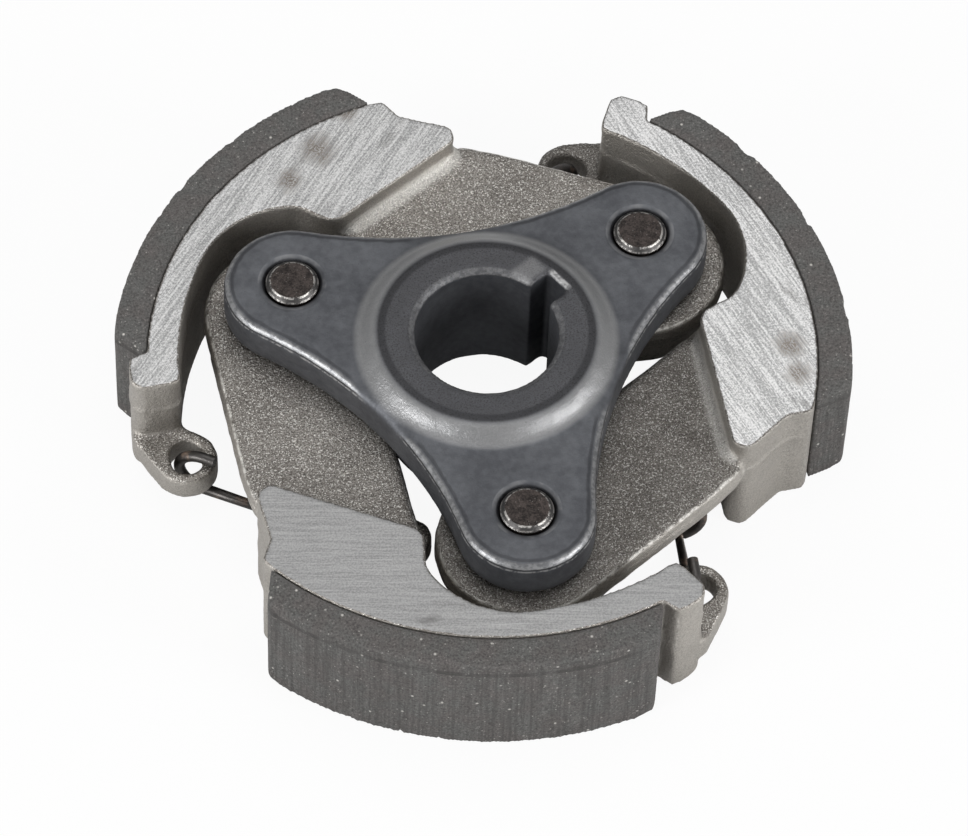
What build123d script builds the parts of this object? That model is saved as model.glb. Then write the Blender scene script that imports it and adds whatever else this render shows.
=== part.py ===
from build123d import *
import math
import os

# Three-shoe centrifugal clutch with a keyed bore.
# The bore axis is Z and the hub's back face is Z = 0. All lengths are in mm.
# The shoe is drawn once, hung on the pivot at 30 degrees, and turned for the other two.

# Hub and drive plate
shoe_count = 3
bore_diameter = 15.0
key_width = 3.0
key_depth = 2.35
hub_tube_diameter = 22.0
hub_length = 15.6
boss_height = 1.6
boss_top_diameter = 23.5
boss_base_diameter = 27.1
bore_chamfer = 0.5
tube_chamfer = 0.6
plate_thickness = 5.2
plate_edge_chamfer = 0.6
pin_circle_diameter = 43.1
first_pin_angle = 30.0
lobe_radius = 7.2
plate_waist = 14.5

# Pivot pins and their washers
pin_end_diameter = 5.6
pin_end_chamfer = 0.5
pin_proud = 0.3
pin_shoulder_diameter = 7.0
pin_head_diameter = 10.0
pin_head_thickness = 1.8
washer_diameter = 11.0
washer_thickness = 0.5
plate_hole_countersink = 0.5

# Clearances
running_clearance = 0.05
end_play = 0.05
web_clearance = 0.1
wire_clearance = 0.1

# Shoe casting, seen from above at rest
shoe_height = 14.6
shoe_step = 2.5
lining_radius = 39.0
lining_thickness = 3.65
lining_width = 40.2
lining_direction = 134.0
lining_edge_chamfer = 0.25
arc_centre = (-0.2, -0.6)
head_lip_angle = 97.2
head_lip_rounding = 1.0
head_step = (-3.2, 32.15)
head_corner = (3.9, 28.85)
head_rounding = 1.5
nose_corner = (-12.6, 19.3)
nose_rounding = 2.0
recess_radius = 10.5
recess_direction = 147.0
recess_flank_angle = 78.0
tail_lip_height = 1.85
tail_lip_start = 169.8
tail_end_angle = 176.4
tail_rounding = 0.8
tail_corner_rounding = 1.6

# Shoe web, the arm that carries the shoe under the drive plate
web_thickness = 3.4
web_head = (2.9, 29.3)
web_shoulder = (6.9, 27.6)
web_edge_direction = -29.4
web_inner_setback = 1.05
eye_radius = 9.3
eye_boss_radius = 7.6
eye_length = 8.2

# Spring ear on the shoe's tail, and the lug under the next shoe's web that the spring ends in
ear_centre = (-32.1, -1.4)
ear_radius = 3.3
ear_thickness = 3.3
ear_drop = 8.9
ear_hole_width = 3.4
ear_hole_length = 4.1
lug_centre = (-7.5, 16.9)
lug_root = (-9.5, 23.5)
lug_radius = 2.4
lug_thickness = 2.6
lug_hole_width = 1.8
lug_hole_length = 2.6

# Return springs
wire_diameter = 1.2
coil_diameter = 6.0
coil_turns = 10
coil_start = 8.0
coil_pitch = 1.22
coil_groove_depth = 0.3
spring_sag = 1.0
ear_hook_setback = 2.0
lug_hook_setback = 2.2
hook_tip_length = 1.2
wire_sides = 6
coil_sides = 8

# Heights and radii that follow from the sizes above
turn_step = 360 / shoe_count
pin_circle_radius = pin_circle_diameter / 2
plate_top = hub_length - boss_height
plate_bottom = plate_top - plate_thickness
web_top = plate_bottom - web_clearance
web_bottom = web_top - web_thickness
eye_bottom = web_top - eye_length
washer_top = eye_bottom - end_play
head_top = washer_top - washer_thickness - end_play
shoe_top = plate_top - shoe_step
shoe_bottom = shoe_top - shoe_height
ear_top = shoe_top - ear_drop
ear_bottom = ear_top - ear_thickness
spring_height = (ear_top + ear_bottom) / 2 - spring_sag
seat_radius = lining_radius - lining_thickness
tail_lip_radius = seat_radius + tail_lip_height
tail_inner_radius = pin_circle_radius + recess_radius
coil_radius = (coil_diameter - wire_diameter) / 2
hook_top = ear_top + wire_clearance + wire_diameter / 2
hook_bottom = spring_height - coil_radius
hook_radius = (hook_top - hook_bottom) / 2


def polar(radius, angle, centre=(0, 0)):
    """The point at that radius and angle in degrees about a centre."""
    turned = math.radians(angle)
    return (centre[0] + radius * math.cos(turned), centre[1] + radius * math.sin(turned))


def corner(sketch, point):
    """The corner of a sketch that lies nearest to a point."""
    return sketch.vertices().sort_by_distance(Vector(point))[0]


def export(part, name, turns=0):
    """Writes one node's STEP file, turned about the bore axis by whole shoe steps."""
    placed = part.rotate(Axis.Z, turns * turn_step)
    placed.label = name
    export_step(placed, f"parts/{name}.step")


os.makedirs("parts", exist_ok=True)
pin_centre = polar(pin_circle_radius, first_pin_angle)

# The concave side of the plate is one arc, tangent to the lobes on either side of it
half_span = math.sin(math.radians(turn_step / 2)) * pin_circle_radius
lobe_depth = math.cos(math.radians(turn_step / 2)) * pin_circle_radius
waist_rise = plate_waist - lobe_depth
side_radius = (half_span**2 + waist_rise**2 - lobe_radius**2) / (2 * (lobe_radius - waist_rise))
side_centre = plate_waist + side_radius
side_half_angle = math.degrees(math.asin(half_span / (side_radius + lobe_radius)))
lobe_half_angle = turn_step / 2 + side_half_angle

# Hub plate: lobes, concave sides, raised boss and hub tube in one piece
with BuildPart() as hub_plate:
    with BuildSketch(Plane.XY.offset(plate_bottom)):
        with BuildLine():
            for index in range(shoe_count):
                out = first_pin_angle + index * turn_step
                lobe_start = out - lobe_half_angle
                CenterArc(polar(pin_circle_radius, out), lobe_radius, lobe_start, 2 * lobe_half_angle)
                across = out + turn_step / 2
                side_start = across + 180 + side_half_angle
                CenterArc(polar(side_centre, across), side_radius, side_start, -2 * side_half_angle)
        make_face()
    extrude(amount=plate_thickness)
    rim = hub_plate.faces().filter_by(Axis.Z)
    chamfer(rim.edges(), plate_edge_chamfer)
    with BuildSketch(Plane.XY.offset(plate_top)):
        Circle(boss_base_diameter / 2)
    with BuildSketch(Plane.XY.offset(hub_length)):
        Circle(boss_top_diameter / 2)
    loft()
    with BuildSketch(Plane.XY):
        Circle(hub_tube_diameter / 2)
    extrude(amount=plate_bottom)
    tube_edge = hub_plate.faces().sort_by(Axis.Z)[0].edges()
    chamfer(tube_edge, tube_chamfer)
    with Locations((0, 0, hub_length)):
        Hole(bore_diameter / 2)
    boss_face = hub_plate.faces().sort_by(Axis.Z)[-1]
    chamfer(boss_face.inner_wires().edges(), bore_chamfer)
    with BuildSketch(Plane.XY):
        with Locations(polar((bore_diameter / 2 + key_depth) / 2, first_pin_angle)):
            Rectangle(bore_diameter / 2 + key_depth, key_width, rotation=first_pin_angle)
    extrude(amount=hub_length, mode=Mode.SUBTRACT)
    with Locations((0, 0, plate_top)), PolarLocations(pin_circle_radius, shoe_count, first_pin_angle):
        CounterSinkHole(
            pin_end_diameter / 2,
            pin_end_diameter / 2 + plate_hole_countersink,
            depth=plate_thickness,
        )
export(hub_plate.part, "hub_plate")

# Pivot pin: headed below, with a bearing shoulder in the shoe's eye and a spigot in the plate
with BuildPart() as pivot_pin:
    with BuildSketch(Plane.XY.offset(head_top - pin_head_thickness)):
        with Locations(pin_centre):
            Circle(pin_head_diameter / 2)
    extrude(amount=pin_head_thickness)
    with BuildSketch(Plane.XY.offset(head_top)):
        with Locations(pin_centre):
            Circle(pin_shoulder_diameter / 2)
    extrude(amount=plate_bottom - head_top)
    with BuildSketch(Plane.XY.offset(plate_bottom)):
        with Locations(pin_centre):
            Circle(pin_end_diameter / 2)
    extrude(amount=plate_thickness + pin_proud)
    chamfer(pivot_pin.edges().sort_by(Axis.Z)[-1], pin_end_chamfer)

# Washer between the pin's head and the shoe's eye
with BuildPart() as pin_washer:
    with BuildSketch(Plane.XY.offset(washer_top - washer_thickness)):
        with Locations(pin_centre):
            Circle(washer_diameter / 2)
            Circle(pin_shoulder_diameter / 2 + running_clearance, mode=Mode.SUBTRACT)
    extrude(amount=washer_thickness)

# Lining: an arc band whose two ends are cut parallel
end_angle = math.degrees(math.asin(lining_width / 2 / seat_radius))
with BuildPart() as lining:
    with BuildSketch(Plane.XY.offset(shoe_bottom)):
        with Locations(arc_centre):
            Circle(lining_radius)
            Circle(seat_radius, mode=Mode.SUBTRACT)
        with Locations(polar(lining_radius, lining_direction, arc_centre)):
            Rectangle(lining_radius, lining_width, rotation=lining_direction, mode=Mode.INTERSECT)
    extrude(amount=shoe_height)
    outer_wall = lining.faces().filter_by(GeomType.CYLINDER).sort_by(SortBy.AREA)[-1]
    chamfer(outer_wall.edges().filter_by(GeomType.CIRCLE), lining_edge_chamfer)

# Shoe casting: thick arc with its recess, web, eye, spring ear and spring lug
recess_centre = polar(pin_circle_radius, recess_direction)
web_bore_radius = pin_circle_radius - eye_radius
web_normal = 90 + web_edge_direction
web_inner_reach = web_bore_radius - web_inner_setback
web_bore_end = web_normal + math.degrees(math.acos(web_inner_reach / web_bore_radius))
spring_line = Vector(*lug_centre).rotate(Axis.Z, turn_step) - Vector(*ear_centre)
lug_hole_direction = math.degrees(math.atan2(spring_line.Y, spring_line.X)) - turn_step
with BuildPart() as shoe:
    with BuildSketch(Plane.XY.offset(shoe_bottom)) as body:
        with BuildLine():
            seat_size = lining_direction + end_angle - head_lip_angle
            seat = CenterArc(arc_centre, seat_radius, head_lip_angle, seat_size)
            lip_size = tail_end_angle - tail_lip_start
            lip = CenterArc(arc_centre, tail_lip_radius, tail_lip_start, lip_size)
            Line(seat @ 1, lip @ 0)
            tail_size = tail_end_angle - recess_direction
            tail = CenterArc((0, 0), tail_inner_radius, recess_direction, tail_size)
            Line(lip @ 1, tail @ 1)
            recess_size = recess_direction - recess_flank_angle
            recess = CenterArc(recess_centre, recess_radius, recess_flank_angle, recess_size)
            Polyline(recess @ 0, nose_corner, head_corner, head_step, seat @ 0)
        make_face()
        fillet(corner(body, nose_corner), nose_rounding)
        fillet(corner(body, recess @ 0), nose_rounding)
        fillet(corner(body, head_corner), head_rounding)
        fillet(corner(body, seat @ 0), head_lip_rounding)
        fillet(corner(body, head_step), head_lip_rounding / 2)
        fillet(corner(body, lip @ 1), tail_corner_rounding)
        fillet(corner(body, tail @ 1), tail_rounding)
        fillet(corner(body, lip @ 0), tail_rounding / 2)
    extrude(amount=shoe_height)
    with BuildSketch(Plane.XY.offset(web_bottom)):
        with BuildLine():
            eye_size = first_pin_angle + 180 - 360 - web_normal
            eye = CenterArc(pin_centre, eye_radius, web_normal, eye_size)
            bore_size = web_bore_end - first_pin_angle
            bore = CenterArc((0, 0), web_bore_radius, first_pin_angle, bore_size)
            Polyline(bore @ 1, nose_corner, web_head, web_shoulder, eye @ 0)
        make_face()
    extrude(amount=web_thickness)
    with BuildSketch(Plane.XY.offset(web_top)):
        with Locations(pin_centre):
            Circle(eye_boss_radius)
    extrude(amount=-eye_length)
    with BuildSketch(Plane.XY.offset(ear_bottom)):
        with Locations(ear_centre):
            Circle(ear_radius)
        with BuildLine():
            Polyline(tail @ 1, lip @ 1, polar(tail_lip_radius, tail_lip_start, arc_centre), tail @ 1)
        make_hull()
    extrude(amount=ear_thickness)
    with BuildSketch(Plane.XY.offset(ear_bottom)):
        with Locations(ear_centre):
            SlotOverall(ear_hole_length, ear_hole_width, rotation=90)
    extrude(amount=ear_thickness, mode=Mode.SUBTRACT)
    with BuildSketch(Plane.XY.offset(ear_bottom)):
        with Locations(lug_centre, lug_root):
            Circle(lug_radius)
        make_hull()
        with Locations(lug_centre):
            SlotOverall(lug_hole_length, lug_hole_width, rotation=lug_hole_direction, mode=Mode.SUBTRACT)
    extrude(amount=lug_thickness)
    with Locations((*pin_centre, web_top)):
        Hole(pin_shoulder_diameter / 2 + running_clearance)

# Return spring: a hook through this shoe's ear, the coil, and a hook through the next shoe's lug
spring_origin = Vector(*ear_centre, (hook_top + hook_bottom) / 2)
hook_plane = Plane(origin=spring_origin, x_dir=spring_line, z_dir=spring_line.cross(Vector(0, 0, 1)))
coil_foot = Plane(origin=(*ear_centre, spring_height), x_dir=(0, 0, 1), z_dir=spring_line)
coil_end = coil_start + coil_turns * coil_pitch
with BuildPart() as spring:
    with BuildLine(hook_plane) as ear_hook:
        Line((ear_hook_setback + hook_tip_length, hook_radius), (ear_hook_setback, hook_radius))
        CenterArc((ear_hook_setback, 0), hook_radius, 90, 180)
        Line((ear_hook_setback, -hook_radius), (coil_start + coil_pitch, -hook_radius))
    with BuildSketch(Plane(origin=ear_hook.wire() @ 0, z_dir=ear_hook.wire() % 0)):
        RegularPolygon(wire_diameter / 2, wire_sides)
    sweep(path=ear_hook.wire())
    lug_hook_centre = spring_line.length - lug_hook_setback
    with BuildLine(hook_plane) as lug_hook:
        Line((lug_hook_centre - hook_tip_length, hook_radius), (lug_hook_centre, hook_radius))
        CenterArc((lug_hook_centre, 0), hook_radius, 90, -180)
        Line((lug_hook_centre, -hook_radius), (coil_end - coil_pitch, -hook_radius))
    with BuildSketch(Plane(origin=lug_hook.wire() @ 0, z_dir=lug_hook.wire() % 0)):
        RegularPolygon(wire_diameter / 2, wire_sides)
    sweep(path=lug_hook.wire())
    for half_turn in range(2 * coil_turns + 1):
        station = coil_start + half_turn * coil_pitch / 2
        groove = coil_groove_depth if half_turn % 2 == 0 else 0
        with BuildSketch(coil_foot.offset(station)):
            RegularPolygon(coil_diameter / 2 - groove, coil_sides)
    loft(ruled=True)
    with BuildSketch(coil_foot.offset(coil_start)):
        RegularPolygon(coil_diameter / 2 - wire_diameter, coil_sides)
    extrude(amount=coil_end - coil_start, mode=Mode.SUBTRACT)

for index in range(shoe_count):
    export(pivot_pin.part, f"pivot_pin_{index + 1}", index)
    export(pin_washer.part, f"pin_washer_{index + 1}", index)
    export(shoe.part, f"shoe_{index + 1}", index)
    export(lining.part, f"lining_{index + 1}", index)
    export(spring.part, f"spring_{index + 1}", index)
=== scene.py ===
"""Looks of a three-shoe centrifugal clutch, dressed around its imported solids."""
import logging
import math
from dataclasses import dataclass
from enum import Enum
from typing import Any, Optional

import bmesh
import bpy
import numpy as np
from mathutils import Matrix, Vector, noise


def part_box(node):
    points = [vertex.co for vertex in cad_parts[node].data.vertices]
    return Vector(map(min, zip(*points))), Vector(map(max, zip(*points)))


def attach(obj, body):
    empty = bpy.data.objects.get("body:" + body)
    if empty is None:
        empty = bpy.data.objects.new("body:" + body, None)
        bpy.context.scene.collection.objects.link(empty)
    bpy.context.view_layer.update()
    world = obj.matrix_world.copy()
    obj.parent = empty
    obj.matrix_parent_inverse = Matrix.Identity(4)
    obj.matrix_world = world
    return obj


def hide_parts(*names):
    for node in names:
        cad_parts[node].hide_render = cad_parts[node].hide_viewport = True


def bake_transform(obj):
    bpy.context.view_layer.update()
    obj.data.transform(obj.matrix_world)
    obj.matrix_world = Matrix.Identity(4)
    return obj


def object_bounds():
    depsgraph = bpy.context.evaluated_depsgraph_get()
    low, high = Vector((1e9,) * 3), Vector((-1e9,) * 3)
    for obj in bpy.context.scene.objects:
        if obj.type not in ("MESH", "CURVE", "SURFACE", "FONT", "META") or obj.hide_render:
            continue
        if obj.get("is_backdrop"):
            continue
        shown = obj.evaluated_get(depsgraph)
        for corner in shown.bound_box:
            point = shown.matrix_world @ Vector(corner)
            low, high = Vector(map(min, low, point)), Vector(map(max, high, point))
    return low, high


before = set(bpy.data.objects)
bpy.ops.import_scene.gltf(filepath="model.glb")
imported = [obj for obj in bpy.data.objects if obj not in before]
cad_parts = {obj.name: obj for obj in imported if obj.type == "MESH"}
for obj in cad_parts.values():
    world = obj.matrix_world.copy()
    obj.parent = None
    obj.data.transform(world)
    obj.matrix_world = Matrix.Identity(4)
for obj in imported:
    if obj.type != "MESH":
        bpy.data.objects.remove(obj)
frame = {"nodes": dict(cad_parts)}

log = logging.getLogger("clutch")

# In metres: one millimetre, and how near two points are when they are merged
MM = 0.001
WELD = MM / 1000

# In millimetres and radians, as all below is where no docstring says otherwise
SHOE_COUNT = 3
TURN = 2 * math.pi / SHOE_COUNT
PIN_RADIUS = 21.55
FIRST_PIN = math.radians(30)
PIN_ANGLES = [FIRST_PIN + step * TURN for step in range(SHOE_COUNT)]
PIN_AXES = [(PIN_RADIUS * math.cos(angle), PIN_RADIUS * math.sin(angle)) for angle in PIN_ANGLES]
ARC_CENTRE = (-0.2, -0.6)
EDGE = "edge"
FULL_ROUNDING = 0.3
BLACK = (0.0, 0.0, 0.0)

Colour = tuple[float, float, float]
Point = tuple[float, float, float]
Spot = tuple[float, float]
Span = tuple[float, float, float, float]


class Slot(Enum):
    """Names of four material slots: spring wire, cast aluminium, dark steel and friction lining."""

    WIRE = "spring_wire"
    CASTING = "cast_aluminium"
    PLATE = "dark_steel"
    LINING = "friction_lining"


class Value:
    """A shader socket that takes part in Python sums."""

    def __init__(self, graph: "Graph", socket: bpy.types.NodeSocket) -> None:
        """Keeps the socket and the graph that it is in."""
        self.graph = graph
        self.socket = socket

    def _maths(self, operation: str, left: Any, right: Any = 0.0) -> "Value":
        """Adds one Math node for two values."""
        return self.graph.node("ShaderNodeMath", {"operation": operation}, {0: left, 1: right})

    def __add__(self, other: Any) -> "Value":
        """The sum of two values."""
        return self._maths("ADD", self, other)

    __radd__ = __add__

    def __mul__(self, other: Any) -> "Value":
        """The product of two values."""
        return self._maths("MULTIPLY", self, other)

    __rmul__ = __mul__

    def __sub__(self, other: Any) -> "Value":
        """This value less the other."""
        return self._maths("SUBTRACT", self, other)

    def __rsub__(self, other: Any) -> "Value":
        """The other value less this one."""
        return self._maths("SUBTRACT", other, self)

    def __abs__(self) -> "Value":
        """The value without its sign."""
        return self._maths("ABSOLUTE", self)

    def least(self, other: Any) -> "Value":
        """The smaller of two values."""
        return self._maths("MINIMUM", self, other)

    def band(self, middle: float, half: float) -> "Value":
        """A soft band: 1 at the middle and 0 beyond half its width."""
        return abs(self - middle).fade(half, 0.4 * half)

    def window(self, start: float, full: float, last: float, end: float) -> "Value":
        """A soft window: 1 from full to last, and 0 below start and above end."""
        return self.fade(start, full) * self.fade(end, last)

    def fade(self, low: float, high: float) -> "Value":
        """Goes smoothly from 0 at low to 1 at high, or the other way round where low is larger."""
        ends = (low, high, 0.0, 1.0) if low < high else (high, low, 1.0, 0.0)
        return self.graph.node(
            "ShaderNodeMapRange",
            {"interpolation_type": "SMOOTHSTEP", "clamp": True},
            {0: self, 1: ends[0], 2: ends[1], 3: ends[2], 4: ends[3]},
        )


class Graph:
    """The node tree of one material, built from expressions."""

    def __init__(self, name: str) -> None:
        """Starts an empty material of that name."""
        self.material = bpy.data.materials.new(name)
        self.material.use_nodes = True
        self.tree = self.material.node_tree
        self.tree.nodes.clear()

    def node(self, kind: str, settings: dict[str, Any], sockets: dict[Any, Any], output: Any = 0) -> Value:
        """Adds any node: its settings first, then what goes into its sockets.

        Args:
            kind: the node's type.
            settings: properties of the node, such as a Math node's operation.
            sockets: numbers, colours or values, by the input's name or number.
            output: the name or number of the output that is wanted.

        Returns:
            The wanted output as a value.
        """
        made = self.tree.nodes.new(kind)
        for key, setting in settings.items():
            setattr(made, key, setting)
        for key, given in sockets.items():
            if isinstance(given, Value):
                self.tree.links.new(given.socket, made.inputs[key])
            else:
                made.inputs[key].default_value = given
        return Value(self, made.outputs[output])

    def place(
        self, shift: Point = (0.0, 0.0, 0.0), turn: float = 0.0, scale: Point = (1.0, 1.0, 1.0)
    ) -> Value:
        """Object coordinates in millimetres, moved, turned about Z and stretched.

        Args:
            shift: how far the pattern is moved first, in millimetres.
            turn: its turn about the bore axis, in radians.
            scale: how much finer the pattern gets along each axis.

        Returns:
            The coordinates as a vector.
        """
        raw = self.node("ShaderNodeTexCoord", {}, {}, "Object")
        sized = self.node("ShaderNodeVectorMath", {"operation": "SCALE"}, {0: raw, "Scale": 1 / MM})
        turned = self.node(
            "ShaderNodeVectorRotate", {"rotation_type": "Z_AXIS"}, {"Vector": sized, "Angle": -turn}
        )
        moved = self.node("ShaderNodeVectorMath", {"operation": "ADD"}, {0: turned, 1: shift})
        return self.node("ShaderNodeVectorMath", {"operation": "MULTIPLY"}, {0: moved, 1: scale})

    def axis(self, vector: Value, letter: str) -> Value:
        """One coordinate of a vector."""
        return self.node("ShaderNodeSeparateXYZ", {}, {0: vector}, letter)

    def facing(self) -> Value:
        """How far the surface faces up: 1 on top, 0 on walls and -1 below."""
        normal = self.node("ShaderNodeNewGeometry", {}, {}, "Normal")
        return self.axis(normal, "Z")

    def edge(self) -> Value:
        """How far a form was rounded here: up to 1 on its outer edges and down to -1 in its inner corners."""
        return self.node("ShaderNodeAttribute", {"attribute_name": EDGE}, {}, "Fac")

    def away(self, vector: Value, axis: Spot = (0.0, 0.0)) -> Value:
        """The level distance in millimetres from an upright axis, which is the bore's if left out."""
        aside = self.node("ShaderNodeVectorMath", {"operation": "SUBTRACT"}, {0: vector, 1: (*axis, 0.0)})
        level = self.node("ShaderNodeVectorMath", {"operation": "MULTIPLY"}, {0: aside, 1: (1.0, 1.0, 0.0)})
        return self.node("ShaderNodeVectorMath", {"operation": "LENGTH"}, {0: level}, "Value")

    def from_pins(self, vector: Value) -> Value:
        """The level distance in millimetres from the nearest pivot pin's axis."""
        nearest = self.away(vector, PIN_AXES[0])
        for axis in PIN_AXES[1:]:
            nearest = nearest.least(self.away(vector, axis))
        return nearest

    def noise(self, vector: Value, scale: float, detail: float = 3.0, rough: float = 0.5) -> Value:
        """Fractal noise about 0.5, with scale in waves for each millimetre."""
        return self.node(
            "ShaderNodeTexNoise",
            {"noise_dimensions": "3D"},
            {"Vector": vector, "Scale": scale, "Detail": detail, "Roughness": rough},
        )

    def specks(self, vector: Value, scale: float, size: float) -> Value:
        """Round specks: 1 in the middle of each and 0 between them."""
        cell = self.node(
            "ShaderNodeTexVoronoi", {"feature": "F1"}, {"Vector": vector, "Scale": scale}, "Distance"
        )
        return cell.fade(size, 0.0)

    def tint(self, factor: Any, first: Any, second: Any) -> Value:
        """A colour between two, going by the factor."""
        return self.node(
            "ShaderNodeMix",
            {"data_type": "RGBA", "blend_type": "MIX"},
            {0: factor, 6: _rgba(first), 7: _rgba(second)},
            2,
        )

    def bump(self, height: Value, depth: float, under: Optional[Value] = None) -> Value:
        """A normal from a relief and its depth in millimetres, on the surface's own normal or another."""
        sockets = {"Height": height, "Distance": depth * MM, "Strength": 1.0}
        if under is not None:
            sockets["Normal"] = under
        return self.node("ShaderNodeBump", {}, sockets)

    def soft_edges(self, radius: float) -> Value:
        """A normal that rounds hard edges by a radius in millimetres."""
        return self.node("ShaderNodeBevel", {"samples": 6}, {"Radius": radius * MM})

    def finish(self, surface: Value) -> bpy.types.Material:
        """Ends the material in a shader."""
        end = self.tree.nodes.new("ShaderNodeOutputMaterial")
        self.tree.links.new(surface.socket, end.inputs["Surface"])
        return self.material


def add_object(name: str, data: Any) -> bpy.types.Object:
    """Adds an object of that name to the scene."""
    made = bpy.data.objects.new(name, data)
    bpy.context.scene.collection.objects.link(made)
    return made


def _rgba(given: Any) -> Any:
    """A plain colour with its fourth number, and anything else as it is."""
    return (*given, 1.0) if isinstance(given, tuple) and len(given) == 3 else given


class Finish:
    """A procedural finish, of which each kind lays out its own colour, roughness and normal."""

    metallic: float

    def lay(self, graph: Graph) -> tuple[Value, Value, Value]:
        """Lays out the nodes of the finish's colour, roughness and normal."""
        raise NotImplementedError

    def make(self, name: str) -> bpy.types.Material:
        """Builds the material of that name."""
        graph = Graph(name)
        colour, rough, normal = self.lay(graph)
        sockets = {"Base Color": colour, "Metallic": self.metallic, "Roughness": rough, "Normal": normal}
        return graph.finish(graph.node("ShaderNodeBsdfPrincipled", {}, sockets))


@dataclass(frozen=True)
class DarkSteel(Finish):
    """Oxide-black sintered steel of the hub plate, pale on the boss's slope and along its rims, with painted
    shade and highlight lines on the rims and a painted shade ring round each pin.
    """

    plate_top: float
    deep: Colour = (0.078, 0.081, 0.09)
    pale: Colour = (0.135, 0.14, 0.152)
    worn: Colour = (0.46, 0.46, 0.46)
    crown: Colour = (0.092, 0.091, 0.096)
    black: Colour = (0.022, 0.022, 0.024)
    slope_inside: float = 11.75
    slope_outside: float = 13.55
    plate_inside: float = 14.6
    rim: float = 0.6
    seat_outside: float = 3.6
    seat_ring: float = 3.4
    seat_groove: float = 2.95
    ring_half: float = 0.3
    chamfer_outside: float = 8.15
    key_floor: float = 9.85
    key_half: float = 1.6
    scuff_ahead: Span = (6.4, 7.4, 9.4, 10.4)
    scuff_aside: Span = (1.6, 2.3, 3.7, 4.5)
    metallic: float = 0.75
    roughness: float = 0.5
    relief_depth: float = 0.045

    def lay(self, graph: Graph) -> tuple[Value, Value, Value]:
        """Lays out the finish's nodes."""
        here = graph.place()
        height = graph.axis(here, "Z")
        facing = graph.facing()
        radius = graph.away(here)
        from_pin = graph.from_pins(here)
        cloud = graph.noise(here, 0.16, 4.0, 0.6).fade(0.35, 0.68)
        mottle = graph.noise(here, 1.2, 3.0, 0.6).fade(0.3, 0.7)
        grain = graph.noise(here, 5.0, 3.0, 0.7)
        broken = graph.noise(here, 1.6, 3.0, 0.6).fade(0.4, 0.58)
        # Plate, crown and slope of the boss
        upper = facing.fade(0.15, 0.4)
        outer = radius.fade(self.plate_inside, self.plate_inside + 0.6)
        outer = outer * from_pin.fade(self.seat_outside, self.seat_outside + 0.3)
        inside, outside = self.slope_inside, self.slope_outside
        slope = radius.window(inside - 0.5, inside + 0.25, outside - 0.3, outside + 0.6) * upper
        crown = radius.fade(inside, inside - 0.6) * upper
        skin = graph.tint(cloud * 0.6 + mottle * 0.4, self.deep, self.pale)
        skin = graph.tint(crown * (0.35 + 0.65 * grain.fade(0.62, 0.4)), skin, self.crown)
        skin = graph.tint(crown * grain.fade(0.5, 0.34) * 0.6, skin, self.black)
        skin = graph.tint(radius.band(inside - 0.75, 0.6) * upper * 0.55, skin, self.black)
        skin = graph.tint(slope * (0.4 + 0.35 * grain), skin, self.worn)
        # Rim: pale worn band on its rounded edge, partly a painted highlight; painted shade just inside it; a
        # painted shade line and a broken painted highlight line on its side
        drop = self.plate_top - height
        rim = outer * upper * facing.fade(0.97, 0.86)
        shade = outer * facing.window(0.95, 0.975, 0.992, 0.999)
        # painted shade: darker where the top face begins to roll over the rim
        skin = graph.tint(shade * 0.45, skin, self.black)
        skin = graph.tint(rim * (0.22 + 0.3 * broken), skin, self.worn)
        # painted shade line on the rim's side, then a broken painted highlight line below it
        skin = graph.tint(outer * drop.band(self.rim + 0.08, 0.12) * 0.8, skin, self.black)
        skin = graph.tint(outer * drop.band(self.rim + 0.32, 0.15) * broken * 0.75, skin, self.worn)
        # Painted shade in the gap round each pin, and a rubbed ring outside it
        groove = from_pin.band(self.seat_groove, self.ring_half)
        # painted shade: dark ring over the gap round the pin
        skin = graph.tint(groove * (0.4 + 0.5 * mottle), skin, self.black)
        seat = from_pin.band(self.seat_ring, self.ring_half) * graph.noise(here, 0.45, 2.0).fade(0.4, 0.6)
        skin = graph.tint(seat * 0.22, skin, self.worn)
        # Chamfer of the bore, floor of the keyway and the patch rubbed beside it
        keyed = graph.place(turn=FIRST_PIN)
        ahead = graph.axis(keyed, "X")
        aside = graph.axis(keyed, "Y")
        chamfer = radius.fade(self.chamfer_outside + 0.1, self.chamfer_outside - 0.1) * facing.fade(0.3, 0.5)
        skin = graph.tint(chamfer * (0.08 + 0.3 * broken * grain), skin, self.worn)
        lip = ahead.band(self.key_floor + 0.35, 0.4)
        lip = lip * abs(aside).fade(self.key_half + 0.1, self.key_half - 0.3)
        skin = graph.tint(lip * upper * (0.4 + 0.6 * broken), skin, self.worn)
        rubbed = ahead.window(*self.scuff_ahead) * aside.window(*self.scuff_aside)
        skin = graph.tint(rubbed * upper * (0.1 + 0.35 * grain), skin, self.worn)
        # Pits, gloss and relief
        pits = graph.specks(here, 1.7, 0.14) * graph.noise(here, 0.4).fade(0.52, 0.62)
        skin = graph.tint(pits * 0.6, skin, self.black)
        rough = self.roughness - 0.12 * slope - 0.1 * rim + 0.12 * (grain - 0.5) + 0.06 * crown
        relief = grain * (0.35 + 0.65 * (crown + slope)) + mottle * 0.25
        normal = graph.bump(relief, self.relief_depth)
        return skin, rough, normal


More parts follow.
